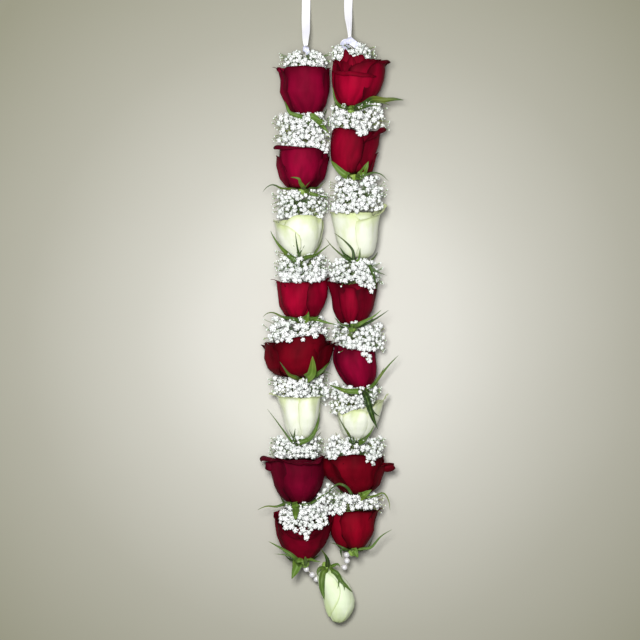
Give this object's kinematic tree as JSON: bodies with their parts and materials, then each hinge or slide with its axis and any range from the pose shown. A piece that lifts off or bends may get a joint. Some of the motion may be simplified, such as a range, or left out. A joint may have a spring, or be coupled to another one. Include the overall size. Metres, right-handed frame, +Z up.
{
  "type": "rose garland",
  "caption": "Flower garland of red and white rose heads and baby's breath strung in two strands, with a rosebud pendant on pearl beads and a satin neck ribbon, laid flat.",
  "frame": {"origin": "on the surface that the garland lies on, under the middle of the flowers: half way across the strands and half way from the bud's tip to the strands' upper ends", "axes": "+Y along the strands towards the neck ribbon, +Z up from the surface, +X from the left strand to the right one as seen from above with the bud nearest"},
  "size_m": [0.1448, 0.7105, 0.055],
  "materials": {
    "petal_red": "velvety, matt",
    "petal_white": "velvety, matt",
    "sepal_green": "matt leaf",
    "babys_breath": "matt",
    "thread": "matt cotton",
    "satin": "satin",
    "pearl": "glossy, pearly"
  },
  "bodies": {
    "root": {"rose_left_1_bloom": "petal_red", "rose_left_1_calyx": "sepal_green", "babys_breath_left_1": "babys_breath", "rose_left_2_bloom": "petal_red", "rose_left_2_calyx": "sepal_green", "babys_breath_left_2": "babys_breath", "rose_left_3_bloom": "petal_white", "rose_left_3_calyx": "sepal_green", "babys_breath_left_3": "babys_breath", "rose_left_4_bloom": "petal_red", "rose_left_4_calyx": "sepal_green", "babys_breath_left_4": "babys_breath", "rose_left_5_bloom": "petal_red", "rose_left_5_calyx": "sepal_green", "babys_breath_left_5": "babys_breath", "rose_left_6_bloom": "petal_white", "rose_left_6_calyx": "sepal_green", "babys_breath_left_6": "babys_breath", "rose_left_7_bloom": "petal_red", "rose_left_7_calyx": "sepal_green", "babys_breath_left_7": "babys_breath", "rose_left_8_bloom": "petal_red", "rose_left_8_calyx": "sepal_green", "babys_breath_left_8": "babys_breath", "pearl_left_1": "pearl", "pearl_left_2": "pearl", "pearl_left_3": "pearl", "ribbon_knot_left": "satin", "rose_right_1_bloom": "petal_red", "rose_right_1_calyx": "sepal_green", "babys_breath_right_1": "babys_breath", "rose_right_2_bloom": "petal_red", "rose_right_2_calyx": "sepal_green", "babys_breath_right_2": "babys_breath", "rose_right_3_bloom": "petal_white", "rose_right_3_calyx": "sepal_green", "babys_breath_right_3": "babys_breath", "rose_right_4_bloom": "petal_red", "rose_right_4_calyx": "sepal_green", "babys_breath_right_4": "babys_breath", "rose_right_5_bloom": "petal_red", "rose_right_5_calyx": "sepal_green", "babys_breath_right_5": "babys_breath", "rose_right_6_bloom": "petal_white", "rose_right_6_calyx": "sepal_green", "babys_breath_right_6": "babys_breath", "rose_right_7_bloom": "petal_red", "rose_right_7_calyx": "sepal_green", "babys_breath_right_7": "babys_breath", "rose_right_8_bloom": "petal_red", "rose_right_8_calyx": "sepal_green", "babys_breath_right_8": "babys_breath", "pearl_right_1": "pearl", "pearl_right_2": "pearl", "pearl_right_3": "pearl", "ribbon_knot_right": "satin", "pendant_bud_bloom": "petal_white", "pendant_bud_calyx": "sepal_green", "stringing_thread": "thread", "neck_ribbon": "satin"}
  },
  "joints": []
}
